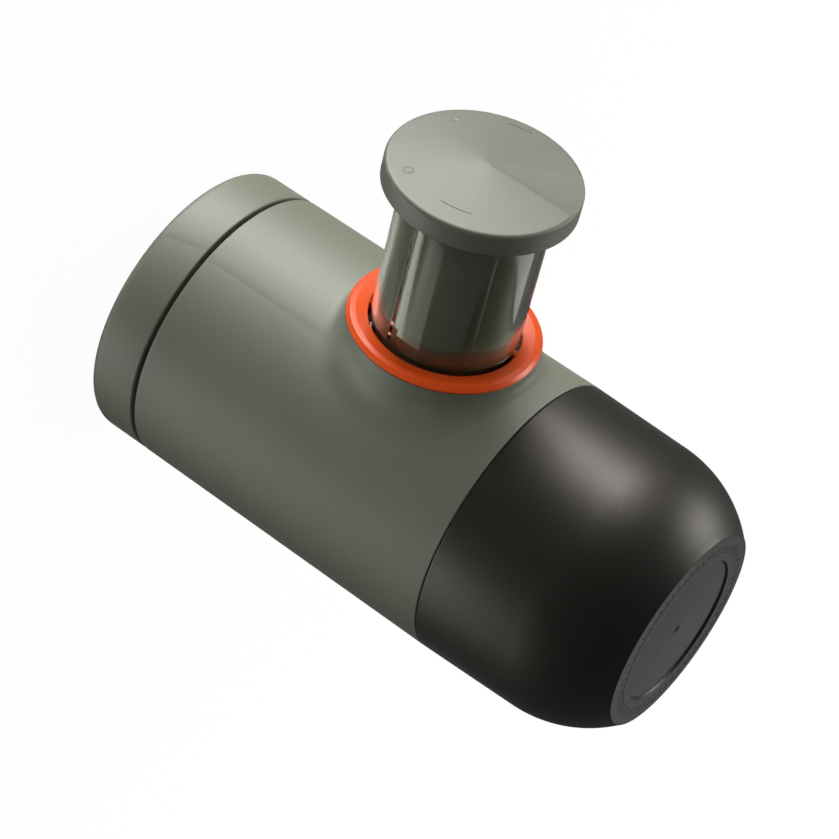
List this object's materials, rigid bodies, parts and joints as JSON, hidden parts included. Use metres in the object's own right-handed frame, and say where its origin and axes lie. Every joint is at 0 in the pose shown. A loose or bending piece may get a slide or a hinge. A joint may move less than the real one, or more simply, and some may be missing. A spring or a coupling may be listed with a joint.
{
  "type": "handheld espresso maker",
  "caption": "Handheld manual espresso maker: cylindrical body with screw-off water tank, spring-return side piston, filter basket and a lift-off cup.",
  "frame": {"origin": "centre of the water tank's flat end face, on which it stands", "axes": "+Z along the body towards the cup, +X along the pump piston outwards"},
  "size_m": [0.1155, 0.0682, 0.14],
  "materials": {
    "shell_green": "fine textured moulded ABS, grey-green",
    "core_green": "moulded acetal, grey-green",
    "cup_black": "satin black moulded polypropylene",
    "accent_orange": "satin orange moulded plastic",
    "band_brown": "brown moulded bearing plastic, seen through the smoked sleeve",
    "bush_black": "moulded acetal",
    "clear_smoke": "clear smoke-tinted copolyester",
    "housing_black": "glass-filled nylon",
    "steel": "stainless steel",
    "seal_rubber": "food-grade silicone"
  },
  "bodies": {
    "maker_body": {"body_shell": "shell_green", "case_screws": "steel", "collar_ring": "accent_orange", "guide_bush": "bush_black", "pump_housing": "housing_black", "pump_cylinder": "housing_black", "cylinder_cap": "housing_black", "cylinder_plug": "housing_black", "plug_seal": "seal_rubber", "inlet_valve": "seal_rubber", "outlet_valve": "seal_rubber", "suction_strainer": "housing_black", "shower_screen": "steel", "screen_screw": "steel", "return_spring": "steel"},
    "tank_seal": {"tank_seal": "seal_rubber"},
    "tank": {"tank_base_cover": "shell_green", "water_tank": "clear_smoke"},
    "piston": {"piston_rod": "steel", "piston_head": "bush_black", "piston_seal": "seal_rubber", "head_screw": "steel", "rod_clip": "steel"},
    "knob_unit": {"knob": "shell_green", "piston_core": "core_green", "guide_band": "band_brown", "piston_sleeve": "clear_smoke"},
    "basket": {"basket_gasket": "seal_rubber", "filter_basket": "steel"},
    "outlet": {"outlet_filter": "steel", "outlet_head": "housing_black", "nozzle": "seal_rubber"},
    "cup": {"cup": "cup_black"}
  },
  "joints": [
    {"name": "tank_travel", "type": "slide", "parent": "maker_body", "child": "tank_seal", "axis": [0, 0, -1], "range_m": [0, 0.00451]},
    {"name": "tank_turn", "type": "hinge", "parent": "tank_seal", "child": "tank", "pos_m": [0, 0, 0], "axis": [0, 0, -1], "range_deg": [0, 270]},
    {"name": "piston_press", "type": "slide", "parent": "maker_body", "child": "piston", "axis": [1, 0, 0], "range_m": [-0.0355, 0], "stiffness_N_per_m": 250, "springref_m": 0.02, "deforming": ["return_spring"]},
    {"name": "piston_turn", "type": "hinge", "parent": "piston", "child": "knob_unit", "pos_m": [0, 0, 0.06615], "axis": [1, 0, 0], "range_deg": [0, 30]},
    {"name": "outlet_travel", "type": "slide", "parent": "maker_body", "child": "basket", "axis": [0, 0, 1], "range_m": [0, 0.00451]},
    {"name": "outlet_turn", "type": "hinge", "parent": "basket", "child": "outlet", "pos_m": [0, 0, 0.1], "axis": [0, 0, 1], "range_deg": [0, 270]},
    {"name": "cup_lift", "type": "slide", "parent": "maker_body", "child": "cup", "axis": [0, 0, 1], "range_m": [0, 0.06]}
  ],
  "couplings": [
    {"joint": "tank_travel", "follows": "tank_turn", "m_per_rad": 0.00095493},
    {"joint": "outlet_travel", "follows": "outlet_turn", "m_per_rad": 0.00095493}
  ]
}
